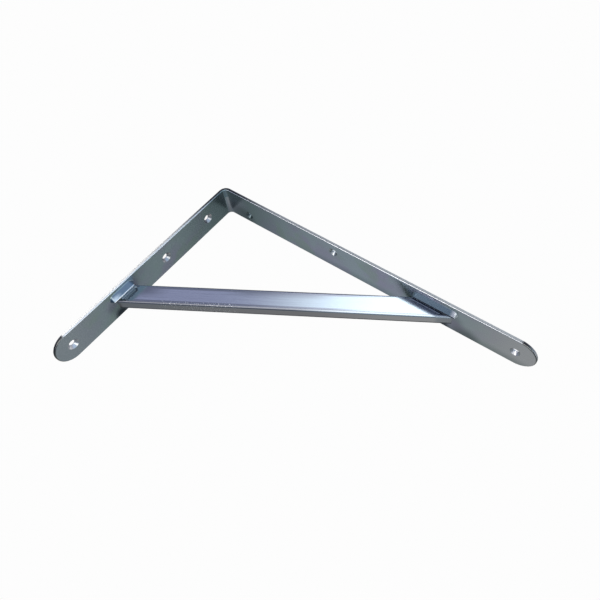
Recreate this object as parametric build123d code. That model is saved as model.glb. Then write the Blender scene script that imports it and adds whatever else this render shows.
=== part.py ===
"""Angle bracket of zinc-plated steel, with a folded brace held under two lanced lips.

The bracket stands as it is used. The short arm lies against a wall, in the plane X = 0, and
runs down. The long arm lies under a shelf and runs out along +X. Y is the width.
The origin is the middle of the upper wall screw hole, on the face that lies on the wall.
The pieces are drawn from the sharp outer corner, and raised to that origin at the end.
"""

from build123d import *
import math
import os
from collections import namedtuple

# Driving dimensions of the flat bar, in millimetres
SHELF_ARM_LENGTH = 300.0
WALL_ARM_LENGTH = 200.0
STRIP_WIDTH = 30.0
STRIP_THICKNESS = 3.0
BEND_INSIDE_RADIUS = 4.0
STRIP_ARRIS = 0.9

# Screw holes: distance from the outer corner, and offset towards the lipped edge of the bar
END_HOLE_INSET = 16.0
WALL_HOLES = [(30.0, 0.0), (82.5, 0.0), (WALL_ARM_LENGTH - END_HOLE_INSET, 0.0)]
SHELF_HOLES = [(28.0, -6.0), (123.0, 5.0), (SHELF_ARM_LENGTH - END_HOLE_INSET, 0.0)]
WALL_HOLE_DIAMETER = 5.0
WALL_SINK_DIAMETER = 9.4
SHELF_HOLE_DIAMETER = 4.4
SHELF_SINK_DIAMETER = 8.0
SINK_ANGLE = 90.0

# Lanced lips: the mouth is the cut edge, the roof slopes back to the bar
LIP_MOUTH = 6.4
LIP_REACH = 5.2
LIP_STANDOUT = 3.4
LIP_HEADROOM = 1.75
LIP_WALL = 1.0
LIP_ROOF_SLOPE = 35.0
LIP_END_SLOPE = 60.0
LIP_RIDGE_RADIUS = 0.5
WALL_LIP_LENGTH = 25.0
SHELF_LIP_LENGTH = 39.0
WALL_LIP_LEAD = 2.6
SHELF_LIP_LEAD = 2.5

# Brace: a channel folded from thinner sheet
WALL_FOOT = 128.0
SHELF_FOOT = 216.0
BRACE_WIDTH = 18.0
BRACE_DEPTH = 9.0
BRACE_SHEET = 1.5
BRACE_FOLD_RADIUS = 2.0
BRACE_WEB_LEVEL = 2.0
BRACE_ARRIS = 0.25

# Tabs at the ends of the web, and the clearances that they are assembled with
SEAT_GAP = 0.1
TAB_FOLD_RADIUS = 1.8
TAB_ENTRY = 1.1
TAB_CORNER_RADIUS = 0.5
TAB_END_CLEARANCE = 0.5
RELIEF_SLIT = 0.6
RELIEF_DEPTH = 1.2
FIT = 0.01

# Sizes that follow from the ones above
HALF_WIDTH = STRIP_WIDTH / 2
BEND_OUTSIDE_RADIUS = BEND_INSIDE_RADIUS + STRIP_THICKNESS
FAR = 2 * (SHELF_ARM_LENGTH + WALL_ARM_LENGTH)

# Each arm has a plane on its inner face: x runs along the arm from the corner, z points into
# the angle. side turns the plane's y towards the lipped edge of the bar, which is at -Y.
Arm = namedtuple("Arm", "face side length holes hole sink foot lip_middle lip_length")

wall_arm = Arm(
    face=Plane(origin=(STRIP_THICKNESS, 0, 0), x_dir=(0, 0, -1), z_dir=(1, 0, 0)),
    side=-1,
    length=WALL_ARM_LENGTH,
    holes=WALL_HOLES,
    hole=WALL_HOLE_DIAMETER,
    sink=WALL_SINK_DIAMETER,
    foot=WALL_FOOT,
    lip_middle=WALL_FOOT + WALL_LIP_LEAD,
    lip_length=WALL_LIP_LENGTH,
)
shelf_arm = Arm(
    face=Plane(origin=(0, 0, -STRIP_THICKNESS), x_dir=(1, 0, 0), z_dir=(0, 0, -1)),
    side=1,
    length=SHELF_ARM_LENGTH,
    holes=SHELF_HOLES,
    hole=SHELF_HOLE_DIAMETER,
    sink=SHELF_SINK_DIAMETER,
    foot=SHELF_FOOT,
    lip_middle=SHELF_FOOT + SHELF_LIP_LEAD,
    lip_length=SHELF_LIP_LENGTH,
)


def bent_bar():
    """Return the bar bent to a right angle, with its corner radii."""
    outline = make_face(
        Polyline(
            (0, 0),
            (SHELF_ARM_LENGTH, 0),
            (SHELF_ARM_LENGTH, -STRIP_THICKNESS),
            (STRIP_THICKNESS, -STRIP_THICKNESS),
            (STRIP_THICKNESS, -WALL_ARM_LENGTH),
            (0, -WALL_ARM_LENGTH),
            close=True,
        )
    )
    outer_corner = outline.vertices().sort_by_distance((0, 0, 0))[0]
    outline = fillet(outer_corner, BEND_OUTSIDE_RADIUS)
    inner_point = (STRIP_THICKNESS, -STRIP_THICKNESS, 0)
    inner_corner = outline.vertices().sort_by_distance(inner_point)[0]
    outline = fillet(inner_corner, BEND_INSIDE_RADIUS)
    return extrude(Plane.XZ * outline, amount=HALF_WIDTH, both=True)


def round_end_waste(arm):
    """Return what is cut off the end of an arm to leave a full half-round."""
    reach = HALF_WIDTH + 1
    depth = 3 * STRIP_THICKNESS
    block = Pos(arm.length - HALF_WIDTH + reach / 2, 0) * Box(reach, STRIP_WIDTH + 2, depth)
    disc = Pos(arm.length - HALF_WIDTH, 0) * Cylinder(HALF_WIDTH, depth)
    return arm.face * (block - disc)


def screw_hole(arm, along, across):
    """Return a through hole with a countersink in the inner face of an arm."""
    sink_depth = (arm.sink - arm.hole) / 2 / math.tan(math.radians(SINK_ANGLE / 2))
    through = Pos(0, 0, -STRIP_THICKNESS / 2) * Cylinder(arm.hole / 2, 2 * STRIP_THICKNESS)
    sink = Pos(0, 0, -sink_depth / 2) * Cone(arm.hole / 2, arm.sink / 2, sink_depth)
    return arm.face * Pos(along, arm.side * across) * (through + sink)


def half_hip(length, reach, height):
    """Return half of a low hipped lump with round, steeper ends, cut flat along its middle."""
    base = SlotOverall(length, 2 * reach)
    roof_run = height / math.tan(math.radians(LIP_ROOF_SLOPE))
    end_run = height / math.tan(math.radians(LIP_END_SLOPE))
    top = Pos(0, 0, height) * SlotOverall(length - 2 * end_run, 2 * (reach - roof_run))
    lump = loft([base.face(), top.face()])
    keep = Pos(0, reach) * Box(2 * length, 2 * reach, 4 * height)
    return lump & keep


def lip_place(arm):
    """Return the location of a lip's mouth on the inner face of an arm."""
    turn = 0 if arm.side > 0 else 180
    return arm.face * Pos(arm.lip_middle, arm.side * LIP_MOUTH) * Rot(0, 0, turn)


def lip_lump(arm):
    """Return the outside of a lip, with a soft ridge round its top."""
    lump = half_hip(arm.lip_length, LIP_REACH, LIP_STANDOUT)
    top_edges = lump.faces().sort_by(Axis.Z)[-1].edges()
    ridge = top_edges.filter_by(lambda edge: edge.center().Y > LIP_RIDGE_RADIUS / 10)
    return lip_place(arm) * fillet(ridge, LIP_RIDGE_RADIUS)


def lip_pocket(arm):
    """Return the space under a lip, open at its mouth and through the back of the bar."""
    length = arm.lip_length - 2 * LIP_WALL / math.sin(math.radians(LIP_END_SLOPE))
    reach = LIP_REACH - LIP_WALL / math.sin(math.radians(LIP_ROOF_SLOPE))
    hollow = half_hip(length, reach, LIP_HEADROOM)
    opening = extrude(SlotOverall(length, 2 * reach), amount=-2 * STRIP_THICKNESS)
    half = Pos(0, reach) * Box(2 * length, 2 * reach, 8 * STRIP_THICKNESS)
    return lip_place(arm) * (hollow + (opening & half))


def angle_strip():
    """Return the bent bar with its round ends, soft arrises, holes and lips."""
    strip = bent_bar()
    for arm in (wall_arm, shelf_arm):
        strip -= round_end_waste(arm)
    long_edges = strip.edges().filter_by(lambda edge: abs(edge.center().Y) > 1)
    strip = fillet(long_edges, STRIP_ARRIS)
    for arm in (wall_arm, shelf_arm):
        strip += lip_lump(arm)
    for arm in (wall_arm, shelf_arm):
        strip -= lip_pocket(arm)
        for along, across in arm.holes:
            strip -= screw_hole(arm, along, across)
    return strip


# The brace's own plane: origin at its foot on the wall arm, z along the brace, y towards the
# lipped edge of the bar and x across the channel.
foot_on_wall = Vector(STRIP_THICKNESS, 0, -WALL_FOOT)
foot_on_shelf = Vector(SHELF_FOOT, 0, -STRIP_THICKNESS)
brace_direction = (foot_on_shelf - foot_on_wall).normalized()
brace_length = (foot_on_shelf - foot_on_wall).length
lip_direction = Vector(0, -1, 0)
brace_plane = Plane(
    origin=foot_on_wall,
    x_dir=lip_direction.cross(brace_direction),
    z_dir=brace_direction,
)
web_middle = BRACE_WEB_LEVEL - BRACE_SHEET / 2
flat_web_width = BRACE_WIDTH - 2 * BRACE_FOLD_RADIUS
tab_width = flat_web_width - 2 * RELIEF_SLIT
notch_depth = SEAT_GAP + BRACE_SHEET + TAB_FOLD_RADIUS + RELIEF_DEPTH


def channel_bar():
    """Return the folded channel, longer than the brace at both ends."""
    half = BRACE_WIDTH / 2
    inner = half - BRACE_SHEET
    foot_level = BRACE_WEB_LEVEL - BRACE_DEPTH
    underside = BRACE_WEB_LEVEL - BRACE_SHEET
    section = make_face(
        Polyline(
            (-half, foot_level),
            (-half, BRACE_WEB_LEVEL),
            (half, BRACE_WEB_LEVEL),
            (half, foot_level),
            (inner, foot_level),
            (inner, underside),
            (-inner, underside),
            (-inner, foot_level),
            close=True,
        )
    )
    outer = section.vertices().group_by(Axis.Y)[-1]
    section = fillet(outer, BRACE_FOLD_RADIUS)
    inner_corners = section.vertices().filter_by(
        lambda corner: abs(corner.Y - underside) < 0.01 and abs(abs(corner.X) - inner) < 0.01
    )
    section = fillet(inner_corners, BRACE_FOLD_RADIUS - BRACE_SHEET)
    tips = section.vertices().group_by(Axis.Y)[0]
    section = fillet(tips, BRACE_ARRIS)
    overlap = BRACE_WIDTH + STRIP_WIDTH
    bar = extrude(section, amount=brace_length + 2 * overlap)
    return brace_plane * Pos(0, 0, -overlap) * bar


def space_in_angle(gap):
    """Return a block that fills the angle, a gap away from the inner face of each arm."""
    corner = STRIP_THICKNESS + gap
    return Pos(corner + FAR / 2, 0, -corner - FAR / 2) * Box(FAR, FAR, FAR)


def web_strip(width, height):
    """Return a block round the web, of a given width and height and longer than the brace."""
    block = Box(width, height, FAR)
    return brace_plane * Pos(0, web_middle, brace_length / 2) * block


def near_arm(arm, depth):
    """Return a block that lies over the inner face of an arm, up to a depth into the angle."""
    return arm.face * Pos(arm.length / 2, 0, depth / 2) * Box(arm.length, 2 * STRIP_WIDTH, depth)


def tab_fold(arm):
    """Return the end of the web where it turns up beside an arm."""
    top = BRACE_WEB_LEVEL + TAB_FOLD_RADIUS
    underside = BRACE_WEB_LEVEL - BRACE_SHEET
    front = SEAT_GAP + BRACE_SHEET
    web_end = notch_depth + RELIEF_DEPTH
    section = make_face(
        Polyline(
            (SEAT_GAP, top),
            (SEAT_GAP, underside),
            (web_end, underside),
            (web_end, BRACE_WEB_LEVEL),
            (front, BRACE_WEB_LEVEL),
            (front, top),
            close=True,
        )
    )
    outside = section.vertices().sort_by_distance((SEAT_GAP, underside, 0))[0]
    section = fillet(outside, TAB_FOLD_RADIUS + BRACE_SHEET - FIT)
    inside = section.vertices().sort_by_distance((front, BRACE_WEB_LEVEL, 0))[0]
    section = fillet(inside, TAB_FOLD_RADIUS - FIT)
    across_arm = Plane(
        origin=arm.face.origin + arm.face.x_dir * arm.foot,
        x_dir=arm.face.z_dir,
        z_dir=arm.face.z_dir.cross(lip_direction),
    )
    fold = extrude(across_arm * section, amount=BRACE_WIDTH * 2, both=True)
    return fold & web_strip(tab_width, BRACE_DEPTH)


def tab_plate(arm):
    """Return the part of a tab that stands against an arm and reaches under the lip."""
    slope = math.radians(brace_direction.get_angle(arm.face.x_dir))
    lean = abs(1 / math.tan(slope))
    base = BRACE_WEB_LEVEL + TAB_FOLD_RADIUS
    top = LIP_MOUTH + TAB_ENTRY
    middle = arm.foot - (SEAT_GAP + BRACE_SHEET / 2) * lean
    half = tab_width / 2 / math.sin(slope)
    shift = (top - base) * lean
    pocket_end = arm.lip_middle + arm.lip_length / 2 - LIP_REACH
    last = min(middle + half + shift, pocket_end - TAB_END_CLEARANCE)
    outline = make_face(
        Polyline(
            (middle - half, base),
            (middle + half, base),
            (last, top),
            (middle - half + shift, top),
            close=True,
        )
    )
    corners = outline.vertices().group_by(Axis.Y)[-1]
    outline = fillet(corners, TAB_CORNER_RADIUS)
    plate = extrude(outline, amount=BRACE_SHEET)
    if arm.side < 0:
        plate = mirror(plate, about=Plane.XZ)
    return arm.face * Pos(0, 0, SEAT_GAP) * plate


def brace():
    """Return the channel between the arms, with a tab at each end of its web."""
    body = channel_bar() & space_in_angle(SEAT_GAP)
    for arm in (wall_arm, shelf_arm):
        body -= web_strip(flat_web_width, 2 * BRACE_SHEET) & near_arm(arm, notch_depth)
    for arm in (wall_arm, shelf_arm):
        body += tab_fold(arm)
        body += tab_plate(arm)
    return body


corner_height = WALL_HOLES[0][0]
sub_parts = {
    "angle_strip": Pos(0, 0, corner_height) * angle_strip(),
    "brace": Pos(0, 0, corner_height) * brace(),
}

os.makedirs("parts", exist_ok=True)
for name, shape in sub_parts.items():
    shape.label = name
    export_step(shape, f"parts/{name}.step")
    box = shape.bounding_box()
    print(name, "solids", len(shape.solids()), "volume", round(shape.volume, 1), "mm3, size", box.size)
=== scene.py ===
# %% [markdown]
# Angle bracket in bright zinc
#
# This lesson dresses a steel shelf bracket: a flat bar bent to a right angle, and a folded
# brace that is held across the angle under two lanced lips. The solids come from the
# imported model and are never moved or changed here. What is left to do is what a zinc
# plater and a photographer would do: the finish of each surface, and the light that the
# bright metal mirrors.
#
# The first cell loads the model.

# %% Load the imported solids
import math
from types import SimpleNamespace

import bpy
import numpy as np
from mathutils import Matrix

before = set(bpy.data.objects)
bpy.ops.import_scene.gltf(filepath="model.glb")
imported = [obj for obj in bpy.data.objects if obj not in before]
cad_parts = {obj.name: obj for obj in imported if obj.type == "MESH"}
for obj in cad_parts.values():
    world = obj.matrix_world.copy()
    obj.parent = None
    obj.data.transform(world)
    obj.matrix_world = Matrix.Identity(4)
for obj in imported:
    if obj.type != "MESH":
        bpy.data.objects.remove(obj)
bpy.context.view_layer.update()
angle_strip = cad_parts["angle_strip"]
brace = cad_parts["brace"]
MM = 0.001

# %% [markdown]
# The camera
#
# The photograph looks up at the bracket from below its wall arm, rolled over so that the
# brace lies almost level. Its place was worked out from the straight edges and the screw
# holes, which are known in millimetres. A camera in Blender is a place, a direction and a
# roll about it. The lens is shifted a little, because the photograph's frame was cropped
# off centre.

# %% Camera at the photograph's viewing angle
CAMERA_PLACE_MM = np.array([311.08, -380.92, -200.38])
CAMERA_AIM_MM = np.array([108.94, 0.0, 24.94])
CAMERA_ROLL_DEG = 41.8
CAMERA_LENS_MM = 34.46
CAMERA_SHIFT = (-0.0308, -0.0825)


def rolled_axes(direction, roll_deg):
    """Unit vectors right, up and back of a camera: a level pair turned about its direction."""
    forward = direction / np.linalg.norm(direction)
    level_right = np.cross(forward, [0.0, 0.0, 1.0])
    level_right /= np.linalg.norm(level_right)
    level_up = np.cross(level_right, forward)
    turn = math.radians(roll_deg)
    right = math.cos(turn) * level_right + math.sin(turn) * level_up
    up = math.cos(turn) * level_up - math.sin(turn) * level_right
    return right, up, -forward


def place_camera():
    """A camera whose matrix holds its three axes as columns, and then its place."""
    data = bpy.data.cameras.new("photo_camera")
    data.lens = CAMERA_LENS_MM
    data.shift_x, data.shift_y = CAMERA_SHIFT
    data.clip_start = 0.01
    camera = bpy.data.objects.new("photo_camera", data)
    matrix = np.identity(4)
    axes = rolled_axes(CAMERA_AIM_MM - CAMERA_PLACE_MM, CAMERA_ROLL_DEG)
    matrix[:3, :3] = np.column_stack(axes)
    matrix[:3, 3] = CAMERA_PLACE_MM * MM
    camera.matrix_world = Matrix(matrix.tolist())
    bpy.context.scene.collection.objects.link(camera)
    bpy.context.scene.camera = camera


place_camera()
print("camera at", CAMERA_PLACE_MM, "mm, roll", CAMERA_ROLL_DEG, "degrees")

# %% [markdown]
# Colours and nodes
#
# A colour picked on a screen is stored with a curve in it. Blender's shaders add light, so
# they need the colour with that curve taken out. One function does that, and one more adds
# a node with its settings and links. The studio and both metals are then made in the same
# way: a mask says where, and a coat of paint says which colour.

# %% Helpers for colours and nodes
def linear(hex_colour):
    """Red, green, blue and one: each sRGB value with its curve taken out."""
    values = np.array([int(hex_colour[start:start + 2], 16) for start in (1, 3, 5)]) / 255
    low = values / 12.92
    high = ((values + 0.055) / 1.055) ** 2.4
    return (*np.where(values <= 0.04045, low, high).tolist(), 1.0)


def add_node(tree, kind, values=(), **settings):
    """Adds a node and gives its outputs. settings are its own choices. values are its inputs,
    in order or by name, and each is a plain value or the output of another node."""
    made = tree.nodes.new("ShaderNode" + kind)
    for name, setting in settings.items():
        setattr(made, name, setting)
    for name, value in values.items() if isinstance(values, dict) else enumerate(values):
        if isinstance(value, bpy.types.NodeSocket):
            tree.links.new(value, made.inputs[name])
        else:
            made.inputs[name].default_value = value
    return made.outputs


def mask(tree, value, shape):
    """Mask from 0 to 1 with soft ends. Two numbers are a fade: 0 at the first, and 1 at the
    second. Three are a band: its middle, half its width, and the softness of each side."""
    if len(shape) == 3:
        middle, half_width, softness = shape
        offset = add_node(tree, "Math", [value, middle], operation="SUBTRACT")[0]
        value = add_node(tree, "Math", [offset], operation="ABSOLUTE")[0]
        shape = (half_width + softness, half_width)
    return add_node(tree, "MapRange", [value, *shape], interpolation_type="SMOOTHSTEP")[0]


def paint(tree, colour, *coats):
    """The colour under its coats, of which the last is on top. A coat is a mask and a colour."""
    for amount, coat in coats:
        colour = add_node(tree, "MixRGB", [amount, colour, coat])[0]
    return colour


def new_material(name):
    """A material with its node tree switched on, and that tree."""
    material = bpy.data.materials.new(name)
    material.use_nodes = True
    return material, material.node_tree


# %% [markdown]
# The room that the metal mirrors
#
# Bright zinc has almost no colour of its own: what shows on it is the room. The room here
# has two faces. The camera itself sees an even, pale backdrop. Every other ray meets a dim
# blue-grey room with soft glowing panels, as in a product studio, where black and white
# boards are set out of the picture to give the metal its darks and its shine. A panel is a
# direction and an angle: the cosine between the ray and the panel's middle is compared with
# the cosines of its inner and outer edge.

# %% The studio
PALE_ROOM = linear("#fdfdfd")
ROOM_BEHIND = linear("#869093")
ROOM_BEFORE = linear("#959db2")
ROOM_OVERHEAD = linear("#f4f6f8")
BEHIND_FADE = (-0.35, 0.35)
OVERHEAD_FADE = (0.62, 0.95)
PANELS = {
    # azimuth from +X, elevation, inner edge and outer edge in degrees, colour, brightness
    "dim_front": (-107.0, -30.0, 6.0, 20.0, "#ffffff", 0.28),
    "key": (-99.0, 28.0, 2.0, 21.5, "#f4fcff", 2.3),
    "low_side": (-153.0, -4.0, 11.0, 24.0, "#fdfdff", 3.6),
    "left": (176.0, 14.0, 10.0, 25.0, "#fdfdff", 1.6),
    "front": (-70.0, -40.0, 14.0, 28.0, "#ffffff", 1.8),
    "front_top": (-84.0, -6.0, 8.0, 20.0, "#ffffff", 1.6),
    "right": (-30.0, 12.0, 14.0, 38.0, "#c4dcf4", 1.0),
    "low_right": (-38.0, -34.0, 10.0, 22.0, "#f6fffc", 2.2),
    "strip_light": (14.0, 12.0, 9.0, 22.0, "#ffffff", 2.2),
    "table": (-119.0, -52.0, 6.0, 18.0, "#ffffff", 3.4),
    "back_grey": (80.0, -24.0, 8.0, 28.0, "#b0b0ae", 1.0),
    "back_blue": (111.0, -29.5, 3.0, 13.0, "#abb0ba", 1.0),
}


def direction_of(azimuth_deg, elevation_deg):
    """Unit vector of an azimuth, from +X towards +Y, and an elevation above the floor."""
    azimuth, elevation = math.radians(azimuth_deg), math.radians(elevation_deg)
    level = math.cos(elevation)
    return (level * math.cos(azimuth), level * math.sin(azimuth), math.sin(elevation))


def build_studio():
    """World shader: an even backdrop for the camera, and a room with panels for all other rays."""
    world = bpy.data.worlds.new("studio")
    bpy.context.scene.world = world
    world.use_nodes = True
    tree = world.node_tree
    tree.nodes.clear()
    ray = add_node(tree, "TexCoord")["Generated"]
    parts = add_node(tree, "SeparateXYZ", [ray])
    coats = [
        (mask(tree, parts["Y"], BEHIND_FADE), ROOM_BEHIND),
        (mask(tree, parts["Z"], OVERHEAD_FADE), ROOM_OVERHEAD),
    ]
    for azimuth, elevation, inner, outer, hex_colour, brightness in PANELS.values():
        toward = direction_of(azimuth, elevation)
        facing = add_node(tree, "VectorMath", [ray, toward], operation="DOT_PRODUCT")["Value"]
        edges = [math.cos(math.radians(edge)) for edge in (outer, inner)]
        light = [brightness * channel for channel in linear(hex_colour)[:3]]
        coats.append((mask(tree, facing, edges), (*light, 1.0)))
    room = paint(tree, ROOM_BEFORE, *coats)
    looking = add_node(tree, "LightPath")["Is Camera Ray"]
    seen = paint(tree, room, (looking, PALE_ROOM))
    background = add_node(tree, "Background", {"Color": seen})[0]
    add_node(tree, "OutputWorld", {"Surface": background})


build_studio()
bpy.context.scene.view_settings.view_transform = "Standard"
print("panels:", ", ".join(PANELS))

# %% [markdown]
# The floor
#
# A bracket hangs on a wall, so the floor is far below it, out of the photograph's view. It
# is a wide disc that dips and rises by a fraction of a millimetre, so that it isn't
# perfectly even. Mirroring rays pass through it and meet the studio instead. A lamp of its
# own lights the paper, and doesn't show in the metal.

# %% Floor
FLOOR_HEIGHT = -0.9
FLOOR_RADIUS = 2.0
FLOOR_WAVE = 0.0004
FLOOR_PAPER = linear("#efeff0")
FLOOR_ROUGHNESS = 0.9
FLOOR_LIGHT = 1.1
FLOOR_LIGHT_ANGLE_DEG = 40
FLOOR_LIGHT_COLOUR = linear("#fff6ea")


def disc_floor(rings=24, spokes=96):
    """A polar grid: radius grows with the square of the ring, height is a slow sine wave."""
    ring, spoke = np.meshgrid(np.linspace(0.02, 1, rings), np.arange(spokes), indexing="ij")
    angle = spoke * 2 * math.pi / spokes
    radius = FLOOR_RADIUS * ring**2
    height = FLOOR_HEIGHT + FLOOR_WAVE * np.sin(3 * radius) * np.cos(2 * angle)
    points = np.stack([radius * np.cos(angle), radius * np.sin(angle), height], -1).reshape(-1, 3)
    first = (np.arange(rings - 1)[:, None] * spokes + np.arange(spokes)).ravel()
    beside = (np.arange(rings - 1)[:, None] * spokes + (np.arange(spokes) + 1) % spokes).ravel()
    faces = np.stack([first, first + spokes, beside + spokes, beside], 1).tolist()
    faces.append(list(range(spokes)))
    mesh = bpy.data.meshes.new("floor")
    mesh.from_pydata(points.tolist(), [], faces)
    floor = bpy.data.objects.new("floor", mesh)
    bpy.context.scene.collection.objects.link(floor)
    floor.visible_glossy = False
    return floor


def paper_material():
    """Matt paper: white pigment, no shine."""
    material, tree = new_material("pale_paper")
    shader = tree.nodes["Principled BSDF"]
    shader.inputs["Base Color"].default_value = FLOOR_PAPER
    shader.inputs["Roughness"].default_value = FLOOR_ROUGHNESS
    return material


def floor_light():
    """A wide, soft lamp that only matt things take up, so that it lights the paper alone."""
    data = bpy.data.lights.new("floor_light", "SUN")
    data.energy = FLOOR_LIGHT
    data.angle = math.radians(FLOOR_LIGHT_ANGLE_DEG)
    data.color = FLOOR_LIGHT_COLOUR[:3]
    lamp = bpy.data.objects.new("floor_light", data)
    bpy.context.scene.collection.objects.link(lamp)
    lamp.visible_glossy = False


floor = disc_floor()
floor.data.materials.append(paper_material())
floor_light()
print("floor", -FLOOR_HEIGHT, "m below the upper wall screw")

# %% [markdown]
# Bright zinc on rolled bar and folded sheet
#
# The bar is rolled, cropped and punched, the brace is folded from thinner sheet, and then
# both are zinc-plated. The plating follows the steel below it. Its faces are bright, and the
# cut edges are rougher. Faint rolling lines run along each piece, the brightener has taken
# unevenly, and a clear passivation leaves a bloom of lavender, and of green in places.
#
# Every mask below is made of places on the part itself, in millimetres. The tables name
# them: a pair is a fade, from where a coat begins to show to where it shows in full, and
# three numbers are a band. The scale of a noise comes from the size of its lumps. The real
# rolling lines and the grain of the plating are much finer than a millimetre, and wouldn't
# show in a picture of the whole bracket, so they are drawn about a millimetre wide.

# %% Functions for places and metal
def product(tree, *values):
    """Output of several numbers multiplied together."""
    result = values[0]
    for value in values[1:]:
        result = add_node(tree, "Math", [result, value], operation="MULTIPLY")[0]
    return result


def weighted_sum(tree, start, *terms):
    """Output of a starting value with each term added: an output times its weight."""
    total = start
    for value, weight in terms:
        total = add_node(tree, "Math", [value, weight, total], operation="MULTIPLY_ADD")[0]
    return total


def place_along(tree, place, direction):
    """Distance in millimetres along a direction from the part's origin."""
    per_mm = tuple(float(value) / MM for value in direction)
    return add_node(tree, "VectorMath", [place, per_mm], operation="DOT_PRODUCT")["Value"]


def distance_to(tree, place, middle_mm):
    """Distance in metres from a point that is given in millimetres."""
    middle = tuple(value * MM for value in middle_mm)
    return add_node(tree, "VectorMath", [place, middle], operation="DISTANCE")["Value"]


def rolled_noise(tree, axes, stretch, lumps):
    """Noise drawn out along the rolling direction, the first of three axes in millimetres."""
    along, across, depth = axes
    place = add_node(tree, "CombineXYZ", [product(tree, along, 1 / stretch), across, depth])[0]
    return add_node(tree, "TexNoise", {"Vector": place, **lumps})[0]


def finish_metal(tree, colour, roughness, height, strength):
    """Link a colour, a roughness and a height in millimetres to the metal shader."""
    shader = tree.nodes["Principled BSDF"]
    shader.inputs["Metallic"].default_value = 1.0
    tree.links.new(colour, shader.inputs["Base Color"])
    tree.links.new(roughness, shader.inputs["Roughness"])
    relief = {"Height": height, "Strength": strength, "Distance": MM}
    tree.links.new(add_node(tree, "Bump", relief)[0], shader.inputs["Normal"])


# %% [markdown]
# The bar
#
# Both arms are measured by their reach: how far a place is from the corner, whichever arm
# it is on. Shade is painted darkest by the bend and beside the brace, and the faces are
# palest at the tips. A highlight is painted on the wall arm's cut edge near its foot, and
# shade on both arms' cut edges by the bend and at the round ends. The lips are painted
# darker than the bar as shade, and each has a painted highlight at one end. Highlights are
# painted along the arrises, and thin lines of shade along the cut edges.

# %% Sizes and colours of the bar's coats
CORNER_HEIGHT_MM = 30.0
BAR_THICKNESS_MM = 3.0
SHELF_ROUND_MM = 285.0
WALL_ROUND_MM = -155.0
WALL_ARM_MM = 3.2
WALL_LIP_BELOW_MM = -60.0
LIP_SIDE_BELOW_MM = -6.0
OUTER_SKIN_MM = 0.1
SINK_DEPTH_MM = 0.05

BAR_COLOUR = linear("#b7c3c6")
BAR_BLOOM = linear("#b8b7c7")
BAR_GREEN = linear("#aabfae")
# painted shade on the faces by the bend and along the shelf arm's far edge
BAR_PAINTED_SHADE = linear("#7f8f90")
BAR_TIP = linear("#cdd0d5")
# painted shade: soft dark patches by the brace's feet, under the lips and by the bend
BAR_SHADE_PATCH = linear("#3a4248")
BAR_EDGE = linear("#9ea0a3")
# painted highlight on the wall arm's cut edge
BAR_EDGE_HIGHLIGHT = linear("#f8f5ef")
# painted shade on the cut edges by the bend and at the round ends
BAR_EDGE_SHADE = linear("#3b3d43")
# painted highlight on the arrises, on one end of each lip and on the wall lip's ridge
BAR_HIGHLIGHT = linear("#f3f4f6")
# painted shade on the arrises at the round ends
BAR_ARRIS_SHADE_AT_TIP = linear("#83827f")
# painted lines of shade along the cut edges and the shelf lip's ridge
BAR_SHADOW_LINE = linear("#34383e")
# painted light on the cut face of each lip's mouth
BAR_MOUTH_LIGHT = linear("#d0d8e2")
# painted shade on the lips' roofs and ends
BAR_LIP_END_SHADE = linear("#566a80")
BAR_LIP_SHELF_SHADE = linear("#8c9fab")
BAR_LIP_WALL_SHADE = linear("#7f8c9c")

# scales are lumps in a metre, but lumps in a millimetre for the rolling lines
BLOOM_LUMPS = {"Scale": 1 / (26.0 * MM), "Detail": 3.0}
GREEN_LUMPS = {"Scale": 1 / (19.0 * MM), "Detail": 3.0}
BAR_MOTTLE = {"Scale": 1 / (1.6 * MM), "Detail": 2.0}
BAR_ROLLING = {"Scale": 0.9, "Detail": 3.0}
BAR_STRETCH = 24
GREEN_AMOUNT = 0.6
BEND_SHADE_AMOUNT = 0.9
FAR_EDGE_SHADE_AMOUNT = 0.5
SHADE_PATCH_CORE = 0.3

BAR_MASKS = {
    # measured in the noise itself
    "bloom": (0.38, 0.62),
    "green": (0.5, 0.66),
    # measured through the bar, from its outer face
    "inner side": (1.2, 2.4),
    # measured by reach
    "towards the bend": (90.0, 10.0),
    "away from the bend": (12.0, 34.0),
    "shaded edge by the bend": (70.0, 15.0),
    "arris away from the bend": (14.0, 40.0),
    # measured out along the shelf arm
    "shelf tip": (235.0, 292.0),
    "far edge's start": (60.0, 120.0),
    "shelf lip's bright end": (231.5, 234.5),
    # measured up the wall arm
    "wall tip": (-105.0, -160.0),
    "wall lip's upper end": (-93.0, -90.0),
    "wall lip's lower part": (-101.0, -110.0),
    "wall lip's lower end": (-110.0, -111.2),
    "lit edge": (20.0, -110.0),
    # measured across the bar, towards its far edge
    "far edge": (5.0, 14.0),
    "lip near its mouth": (-11.0, -8.0),
    # measured above the inner face
    "lip": (0.1, 0.4),
    "lip's ridge": (2.95, 3.15),
    # measured sideways from the middle line, and round the ends
    "arris": (14.25, 14.45),
    "cut edge": (14.9, 14.96),
    # measured past the start of a round end
    "round end": (0.5, 2.5),
    "shaded edge at a round end": (0.2, 2.5),
    "end of the shaded edge": (12.0, 4.0),
    # bands: out along the shelf arm, up the wall arm, across the bar, and sideways
    "beside the shelf lip": (218.5, 18.5, 0.5),
    "beside the wall lip": (-100.6, 11.5, 0.5),
    "mouth": (-6.4, 0.06, 0.06),
    "shadow_line": (14.9, 0.03, 0.035),
}
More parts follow.
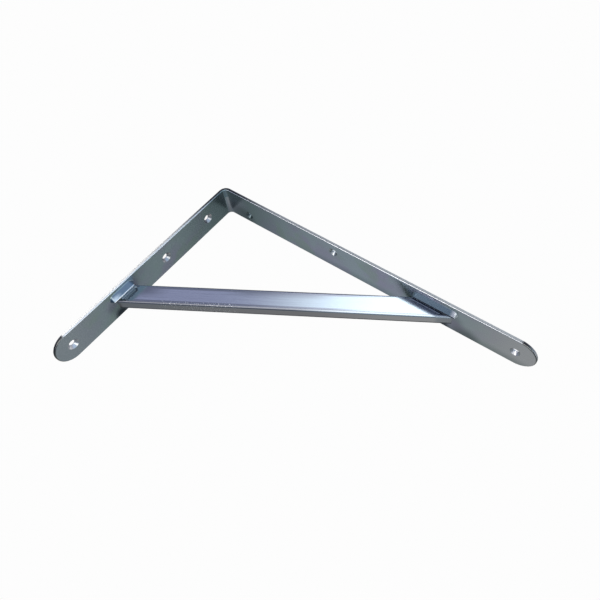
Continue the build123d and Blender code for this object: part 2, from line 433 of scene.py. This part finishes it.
# soft patches of painted shade on the inner faces
SHADE_PATCHES = {
    # middle of each patch of painted shade in millimetres, its radius and its strength
    "wall_foot": ((3.0, 13.0, -109.0), 9.0, 0.95),
    "wall_under_lip": ((3.0, 2.0, -110.0), 12.0, 0.35),
    "shelf_foot": ((226.0, 14.0, 27.0), 9.0, 0.9),
    "shelf_below_foot": ((246.0, 15.0, 27.0), 16.0, 0.5),
    "shelf_lip": ((201.0, -7.0, 27.0), 20.0, 0.4),
    "shelf_past_lip": ((234.0, 2.0, 27.0), 12.0, 0.3),
    "bend_low": ((18.0, 13.0, 27.0), 21.0, 0.6),
}
SINKS = [
    # middle of each screw hole in millimetres, the radius that holds its countersink, and the
    # colour: light and shade painted in that countersink
    ((1.5, 0.0, 0.0), 4.95, "#c6c4c8"),
    ((1.5, 0.0, -52.5), 4.95, "#c6c4c8"),
    ((1.5, 0.0, -154.0), 4.95, "#dcdadd"),
    ((28.0, 6.0, 28.5), 4.3, "#667174"),
    ((123.0, -5.0, 28.5), 4.3, "#b4b9bc"),
    ((284.0, 0.0, 28.5), 4.3, "#d6d4d8"),
]

BAR_ROUGHNESS = 0.21
BAR_ROUGHNESS_OF_MOTTLE = 0.08
BAR_ROUGHNESS_OF_EDGE = 0.2
BAR_HEIGHT_OF_ROLLING = 0.7
BAR_HEIGHT_OF_MOTTLE = 0.12
BAR_BUMP = 0.02


# %% Bar finish
def bar_mask(tree, value, name):
    """Mask of the bar, by its name in the table."""
    return mask(tree, value, BAR_MASKS[name])


def bar_places(tree):
    """Places on the bar in millimetres, and masks of its parts, each the output of a node."""
    at = SimpleNamespace()
    at.place = add_node(tree, "TexCoord")["Object"]
    at.out = place_along(tree, at.place, (1, 0, 0))
    at.across = place_along(tree, at.place, (0, 1, 0))
    at.up = place_along(tree, at.place, (0, 0, 1))
    from_corner = add_node(tree, "Math", [at.out, at.up], operation="SUBTRACT")[0]
    at.reach = add_node(tree, "Math", [from_corner, CORNER_HEIGHT_MM], operation="ADD")[0]
    below_top = add_node(tree, "Math", [CORNER_HEIGHT_MM, at.up], operation="SUBTRACT")[0]
    at.through = add_node(tree, "Math", [at.out, below_top], operation="MINIMUM")[0]
    at.above_face = add_node(tree, "Math", [at.through, BAR_THICKNESS_MM], operation="SUBTRACT")[0]
    past_shelf = add_node(tree, "Math", [at.out, SHELF_ROUND_MM], operation="SUBTRACT")[0]
    past_wall = add_node(tree, "Math", [WALL_ROUND_MM, at.up], operation="SUBTRACT")[0]
    past_both = add_node(tree, "Math", [past_shelf, past_wall], operation="MAXIMUM")[0]
    at.past = add_node(tree, "Math", [past_both, 0.0], operation="MAXIMUM")[0]
    squares = [product(tree, value, value) for value in (at.across, at.past)]
    square = add_node(tree, "Math", squares, operation="ADD")[0]
    at.aside = add_node(tree, "Math", [square], operation="SQRT")[0]
    at.on_wall = add_node(tree, "Math", [at.out, BAR_THICKNESS_MM], operation="LESS_THAN")[0]
    at.low_on_wall = add_node(tree, "Math", [at.up, WALL_LIP_BELOW_MM], operation="LESS_THAN")[0]
    at.elsewhere = add_node(tree, "Math", [1.0, at.low_on_wall], operation="SUBTRACT")[0]
    return at


def colour_of_faces(tree, at):
    """Colour of the faces: blooms, painted shade by the bend and along the shelf arm's far edge,
    and pale tips.
    """
    bloom = add_node(tree, "TexNoise", {"Vector": at.place, **BLOOM_LUMPS})[0]
    green = add_node(tree, "TexNoise", {"Vector": at.place, **GREEN_LUMPS})[0]
    green = bar_mask(tree, green, "green")
    wall_arm = add_node(tree, "Math", [at.out, WALL_ARM_MM], operation="LESS_THAN")[0]
    past_bend = bar_mask(tree, at.reach, "away from the bend")
    off_bend = add_node(tree, "Math", [wall_arm, past_bend], operation="MAXIMUM")[0]
    by_bend = bar_mask(tree, at.reach, "towards the bend")
    shelf_tip = bar_mask(tree, at.out, "shelf tip")
    wall_tip = bar_mask(tree, at.up, "wall tip")
    tip = add_node(tree, "Math", [shelf_tip, wall_tip], operation="MAXIMUM")[0]
    far_edge = bar_mask(tree, at.across, "far edge")
    past_start = bar_mask(tree, at.out, "far edge's start")
    return paint(
        tree, BAR_COLOUR,
        (bar_mask(tree, bloom, "bloom"), BAR_BLOOM),
        (product(tree, green, GREEN_AMOUNT), BAR_GREEN),
        # painted shade by the bend
        (product(tree, by_bend, off_bend, BEND_SHADE_AMOUNT), BAR_PAINTED_SHADE),
        (tip, BAR_TIP),
        # painted shade along the shelf arm's far edge
        (product(tree, far_edge, past_start, FAR_EDGE_SHADE_AMOUNT), BAR_PAINTED_SHADE),
    )


def shade_patches_and_sinks(tree, at):
    """Coats of painted shade in soft patches on the inner faces, and of painted light and shade in
    the countersinks.
    """
    inner_side = bar_mask(tree, at.through, "inner side")
    below_face = add_node(tree, "Math", [at.through, SINK_DEPTH_MM], operation="GREATER_THAN")[0]
    coats = []
    for middle, radius, amount in SHADE_PATCHES.values():
        away = distance_to(tree, at.place, middle)
        shade_patch = mask(tree, away, (radius * MM, SHADE_PATCH_CORE * radius * MM))
        # a soft patch of painted shade
        coats.append((product(tree, shade_patch, amount, inner_side), BAR_SHADE_PATCH))
    for middle, radius, hex_colour in SINKS:
        away = distance_to(tree, at.place, middle)
        sink = add_node(tree, "Math", [away, radius * MM], operation="LESS_THAN")[0]
        # each countersink is painted with the light and shade seen in it
        coats.append((product(tree, sink, below_face), linear(hex_colour)))
    return coats


def lips(tree, at):
    """Coats for the lips: roofs and ends painted with shade, ridges and one end with painted
    highlights, and painted light on the cut edge of each mouth.
    """
    lip_side = add_node(tree, "Math", [at.across, LIP_SIDE_BELOW_MM], operation="LESS_THAN")[0]
    lip = product(tree, bar_mask(tree, at.above_face, "lip"), lip_side)
    ridge = product(tree, bar_mask(tree, at.above_face, "lip's ridge"), lip_side)
    wall_part = product(tree, bar_mask(tree, at.up, "wall lip's lower part"), at.low_on_wall)
    wall_bright = product(tree, wall_part, bar_mask(tree, at.across, "lip near its mouth"))
    shelf_bright = bar_mask(tree, at.out, "shelf lip's bright end")
    bright = add_node(tree, "Math", [wall_bright, shelf_bright], operation="MAXIMUM")[0]
    upper_end = product(tree, bar_mask(tree, at.up, "wall lip's upper end"), at.low_on_wall)
    lower_end = product(tree, bar_mask(tree, at.up, "wall lip's lower end"), at.low_on_wall)
    by_shelf_lip = bar_mask(tree, at.out, "beside the shelf lip")
    by_wall_lip = bar_mask(tree, at.up, "beside the wall lip")
    by_lip = add_node(tree, "Math", [by_shelf_lip, by_wall_lip], operation="MAXIMUM")[0]
    below_skin = add_node(tree, "Math", [at.through, OUTER_SKIN_MM], operation="GREATER_THAN")[0]
    mouth = product(tree, bar_mask(tree, at.across, "mouth"), below_skin, by_lip)
    return [
        # painted shade on the lips' roofs
        (lip, paint(tree, BAR_LIP_WALL_SHADE, (at.elsewhere, BAR_LIP_SHELF_SHADE))),
        # a painted highlight at one end of each lip
        (product(tree, lip, bright), BAR_HIGHLIGHT),
        # painted shade on both ends of the wall lip
        (product(tree, lip, upper_end), BAR_LIP_END_SHADE),
        (product(tree, lip, lower_end), BAR_LIP_END_SHADE),
        # a painted highlight along the wall lip's ridge
        (product(tree, ridge, at.low_on_wall), BAR_HIGHLIGHT),
        # a painted line of shade along the shelf lip's ridge
        (product(tree, ridge, at.elsewhere), BAR_SHADOW_LINE),
        # painted light on the cut edge of each mouth
        (mouth, BAR_MOUTH_LIGHT),
    ]


def cut_edges(tree, at, edge):
    """Coats for the arrises, with a painted highlight, and the cut edges, with painted light and
    shade, and a painted line of shade on the inner side of the wall arm's edge and on the outer
    side of the shelf arm's."""
    round_end = bar_mask(tree, at.past, "round end")
    arris = bar_mask(tree, at.aside, "arris")
    arris = product(tree, arris, bar_mask(tree, at.reach, "arris away from the bend"))
    # a painted highlight on the wall arm's cut edge, strongest towards its foot
    edge_highlight = product(tree, at.on_wall, bar_mask(tree, at.up, "lit edge"))
    near_start = bar_mask(tree, at.past, "end of the shaded edge")
    # painted shade on the cut edges at the round ends, and below by the bend
    shaded_round_end = add_node(tree, "Math", [at.on_wall, near_start], operation="MAXIMUM")[0]
    shaded_round_end = product(tree, shaded_round_end, bar_mask(tree, at.past, "shaded edge at a round end"))
    by_bend = bar_mask(tree, at.reach, "shaded edge by the bend")
    dark = add_node(tree, "Math", [by_bend, shaded_round_end], operation="MAXIMUM")[0]
    edge_colour = paint(tree, BAR_EDGE, (edge_highlight, BAR_EDGE_HIGHLIGHT), (dark, BAR_EDGE_SHADE))
    half_way = BAR_THICKNESS_MM / 2
    inner_half = add_node(tree, "Math", [at.through, half_way], operation="GREATER_THAN")[0]
    shadow_line_side = add_node(tree, "Math", [at.on_wall, inner_half], operation="SUBTRACT")[0]
    shadow_line_side = add_node(tree, "Math", [shadow_line_side], operation="ABSOLUTE")[0]
    # a painted line of shade along the cut edge
    shadow_line = product(tree, bar_mask(tree, at.aside, "shadow_line"), shadow_line_side)
    return [
        # a painted highlight along the arrises, with painted shade at the round ends
        (arris, paint(tree, BAR_HIGHLIGHT, (round_end, BAR_ARRIS_SHADE_AT_TIP))),
        (edge, edge_colour),
        (shadow_line, BAR_SHADOW_LINE),
    ]


def bar_finish():
    """Zinc on the bar: pale faces, rougher cut edges, and painted shade by the bend and by the
    brace.
    """
    material, tree = new_material("bar_zinc_plate")
    at = bar_places(tree)
    edge = bar_mask(tree, at.aside, "cut edge")
    coats = [*shade_patches_and_sinks(tree, at), *lips(tree, at), *cut_edges(tree, at, edge)]
    colour = paint(tree, colour_of_faces(tree, at), *coats)
    axes = (at.reach, at.across, at.through)
    rolling = rolled_noise(tree, axes, BAR_STRETCH, BAR_ROLLING)
    mottle = add_node(tree, "TexNoise", {"Vector": at.place, **BAR_MOTTLE})[0]
    rough = weighted_sum(
        tree, BAR_ROUGHNESS, (mottle, BAR_ROUGHNESS_OF_MOTTLE), (edge, BAR_ROUGHNESS_OF_EDGE))
    height = weighted_sum(
        tree, 0.0, (mottle, BAR_HEIGHT_OF_MOTTLE), (rolling, BAR_HEIGHT_OF_ROLLING))
    finish_metal(tree, colour, rough, height, BAR_BUMP)
    return material


angle_strip.material_slots[0].material = bar_finish()
print("bar coats:", len(BAR_MASKS), "masks,", len(SHADE_PATCHES), "patches of shade,", len(SINKS), "countersinks")

# %% [markdown]
# The brace
#
# The sheet has its own axes: along the brace, across its web, and in depth, towards the back
# of the bracket. A line of painted shade lies beside each fold, and painted shade darkens the
# folds towards the foot, the flanges, the tabs and the web's foot, while the tabs' ends are
# painted light. The near fold is scuffed, because parts rub against each other there in the
# plating barrel. Close to the arms the web carries painted reflections of the arms: darker,
# and bluer by the shelf arm, where its end is also rougher.

# %% Sizes and colours of the brace's coats
BRACE_FOOT_MM = np.array([3.0, 0.0, -98.0])
BRACE_HEAD_MM = np.array([216.0, 0.0, 27.0])

BRACE_COLOUR = linear("#d8d9eb")
BRACE_BLOOM = linear("#c6d0da")
# a duller tone: for the streaks of wear, and as painted shade beside the folds and at the foot
BRACE_DULL_AND_SHADE = linear("#a3a5b2")
BRACE_SCUFF = linear("#f2f3f6")
# painted shade on the folds
BRACE_FOLD_SHADE = linear("#85878f")
# painted reflections of the wall arm and the shelf arm in the web's ends
BRACE_WALL_REFLECTION = linear("#a6b0b6")
BRACE_SHELF_REFLECTION = linear("#7c879b")
# painted shade on the flanges, lighter towards the head
BRACE_FLANGE_SHADE = linear("#999ba1")
BRACE_FLANGE_HEAD_SHADE = linear("#c1c3c8")
# painted shade along the flanges' lower edges
BRACE_FLANGE_EDGE_SHADE = linear("#54575c")
# painted shade on the tabs under the lips
BRACE_TAB_WALL_SHADE = linear("#8f9ca6")
BRACE_TAB_SHELF_SHADE = linear("#3c475e")
# painted light on the tabs' ends
BRACE_TAB_END_WALL_LIGHT = linear("#f2f6f8")
BRACE_TAB_END_SHELF_LIGHT = linear("#d4dcee")

WORN_AMOUNT = 0.25
FAR_SIDE_AMOUNT = 0.8

BRACE_MASKS = {
    # measured out from the wall, and up from the upper wall screw
    "by the wall arm": (15.5, 12.0),
    "by the shelf arm": (19.5, 22.0),
    # measured along the brace, from its foot on the wall arm
    "bloom": (60.0, 170.0),
    "far line's stretch": (220.0, 170.0),
    "near line's stretch": (205.0, 165.0),
    "worn": (190.0, 100.0),
    "foot": (40.0, 14.0),
    "fold's stretch": (190.0, 130.0),
    "flange's head": (140.0, 230.0),
    # measured across the web
    "foot's far side": (-6.0, 4.0),
    "far side": (0.0, 6.0),
    # measured in depth
    "web": (-1.2, -1.7),
    "flange": (-0.8, 0.2),
    "flange's lip": (5.2, 6.2),
    "tab": (-2.05, -2.7),
    "tab's roughness": (-2.1, -2.5),
    "tab's end": (-3.7, -4.0),
    # values of noise
    "streak": (0.45, 0.7),
    "speck": (0.6, 0.68),
    # bands across the web
    "far line": (7.0, 0.9, 1.2),
    "near line": (-6.5, 0.4, 0.8),
    "scuff": (-7.6, 1.2, 0.8),
    # bands along the brace
    "far side's stretch": (128.0, 22.0, 26.0),
    "scuff's stretch": (62.0, 26.0, 12.0),
    # a band in depth
    "fold": (-1.15, 0.6, 0.3),
}

# scales are lumps in a metre, but lumps in a millimetre for the rolling lines
SPECK_LUMPS = {"Scale": 1 / (0.9 * MM), "Detail": 2.0}
BRACE_MOTTLE = {"Scale": 1 / (1.4 * MM), "Detail": 2.0}
BRACE_ROLLING = {"Scale": 0.8, "Detail": 3.0}
BRACE_STRETCH = 30
BRACE_ROUGHNESS = 0.14
BRACE_ROUGHNESS_OF_MOTTLE = 0.06
BRACE_ROUGHNESS_OF_SCUFF = 0.3
BRACE_ROUGHNESS_OF_TAB = 0.4
BRACE_ROUGHNESS_BY_SHELF = 0.35
BRACE_HEIGHT_OF_ROLLING = 0.7
BRACE_HEIGHT_OF_MOTTLE = 0.2
BRACE_BUMP = 0.015


# %% Brace finish
def brace_mask(tree, value, name):
    """Mask of the brace, by its name in the table."""
    return mask(tree, value, BRACE_MASKS[name])


def brace_places(tree):
    """Places on the brace in millimetres, and masks of its ends, each the output of a node."""
    at = SimpleNamespace()
    at.place = add_node(tree, "TexCoord")["Object"]
    lengthwise = BRACE_HEAD_MM - BRACE_FOOT_MM
    lengthwise /= np.linalg.norm(lengthwise)
    crosswise = np.cross([0.0, -1.0, 0.0], lengthwise)
    from_foot = []
    for axis in (lengthwise, crosswise):
        ends = [place_along(tree, at.place, axis), float(BRACE_FOOT_MM @ axis)]
        from_foot.append(add_node(tree, "Math", ends, operation="SUBTRACT")[0])
    at.along, at.across = from_foot
    at.depth = place_along(tree, at.place, (0, 1, 0))
    out = place_along(tree, at.place, (1, 0, 0))
    up = place_along(tree, at.place, (0, 0, 1))
    at.by_wall = brace_mask(tree, out, "by the wall arm")
    at.by_shelf = brace_mask(tree, up, "by the shelf arm")
    return at


def web_coats(tree, at, streak):
    """Coats for the web: painted shade lines by the folds, streaks of wear, a darker far side,
    painted shade at the foot and painted reflections of the arms at both ends.
    """
    on_web = brace_mask(tree, at.depth, "web")
    lines = []
    for name in ("near line", "far line"):
        stretch = brace_mask(tree, at.along, name + "'s stretch")
        lines.append(product(tree, brace_mask(tree, at.across, name), stretch))
    either_line = add_node(tree, "Math", lines, operation="MAXIMUM")[0]
    worn = product(
        tree, brace_mask(tree, streak, "streak"), brace_mask(tree, at.along, "worn"), WORN_AMOUNT)
    foot = brace_mask(tree, at.along, "foot")
    foot = product(tree, foot, brace_mask(tree, at.across, "foot's far side"), on_web)
    far_side = brace_mask(tree, at.along, "far side's stretch")
    far_side = product(
        tree, far_side, brace_mask(tree, at.across, "far side"), on_web, FAR_SIDE_AMOUNT)
    return [
        # painted shade lines beside the folds
        (product(tree, either_line, on_web), BRACE_DULL_AND_SHADE),
        (worn, BRACE_DULL_AND_SHADE),
        # painted shade at the web's foot
        (foot, BRACE_DULL_AND_SHADE),
        (far_side, BRACE_DULL_AND_SHADE),
        # painted reflections of the arms in the web, by the wall and by the shelf
        (product(tree, at.by_wall, on_web), BRACE_WALL_REFLECTION),
        (product(tree, at.by_shelf, on_web), BRACE_SHELF_REFLECTION),
    ]


def fold_coats(tree, at):
    """Coats of painted shade for the folds, the flanges and the tabs, and painted light for the
    tabs' ends.
    """
    stretch = brace_mask(tree, at.along, "fold's stretch")
    # painted shade on the folds, towards the foot
    fold = product(tree, brace_mask(tree, at.depth, "fold"), stretch)
    head = brace_mask(tree, at.along, "flange's head")
    # painted shade on the flanges, lighter towards the head
    flange = paint(tree, BRACE_FLANGE_SHADE, (head, BRACE_FLANGE_HEAD_SHADE))
    # painted shade on the tabs, and painted light on their ends
    tab = paint(tree, BRACE_TAB_WALL_SHADE, (at.by_shelf, BRACE_TAB_SHELF_SHADE))
    tab_end_light = paint(tree, BRACE_TAB_END_WALL_LIGHT, (at.by_shelf, BRACE_TAB_END_SHELF_LIGHT))
    return [
        (fold, BRACE_FOLD_SHADE),
        (brace_mask(tree, at.depth, "flange"), flange),
        # a painted line of shade along the flange's lower edge
        (brace_mask(tree, at.depth, "flange's lip"), BRACE_FLANGE_EDGE_SHADE),
        (brace_mask(tree, at.depth, "tab"), tab),
        (brace_mask(tree, at.depth, "tab's end"), tab_end_light),
    ]


def scuffs(tree, at):
    """Mask of the scuffs along the near fold: specks of noise within a stretch of it."""
    specks = add_node(tree, "TexNoise", {"Vector": at.place, **SPECK_LUMPS})[0]
    specks = brace_mask(tree, specks, "speck")
    on_fold = brace_mask(tree, at.across, "scuff")
    return product(tree, specks, on_fold, brace_mask(tree, at.along, "scuff's stretch"))


def brace_finish():
    """Zinc on the folded sheet: a lavender bloom, painted shade and light, and scuffs."""
    material, tree = new_material("brace_zinc_plate")
    at = brace_places(tree)
    axes = (at.along, at.across, at.depth)
    streak = rolled_noise(tree, axes, BRACE_STRETCH, BRACE_ROLLING)
    scuff = scuffs(tree, at)
    bloom = (brace_mask(tree, at.along, "bloom"), BRACE_BLOOM)
    coats = [bloom, *web_coats(tree, at, streak), *fold_coats(tree, at), (scuff, BRACE_SCUFF)]
    colour = paint(tree, BRACE_COLOUR, *coats)
    mottle = add_node(tree, "TexNoise", {"Vector": at.place, **BRACE_MOTTLE})[0]
    tab = brace_mask(tree, at.depth, "tab's roughness")
    rough = weighted_sum(
        tree, BRACE_ROUGHNESS,
        (mottle, BRACE_ROUGHNESS_OF_MOTTLE),
        (scuff, BRACE_ROUGHNESS_OF_SCUFF),
        (tab, BRACE_ROUGHNESS_OF_TAB),
        (at.by_shelf, BRACE_ROUGHNESS_BY_SHELF),
    )
    height = weighted_sum(
        tree, 0.0, (mottle, BRACE_HEIGHT_OF_MOTTLE), (streak, BRACE_HEIGHT_OF_ROLLING))
    finish_metal(tree, colour, rough, height, BRACE_BUMP)
    return material


brace.material_slots[0].material = brace_finish()
print("brace coats:", len(BRACE_MASKS), "masks")
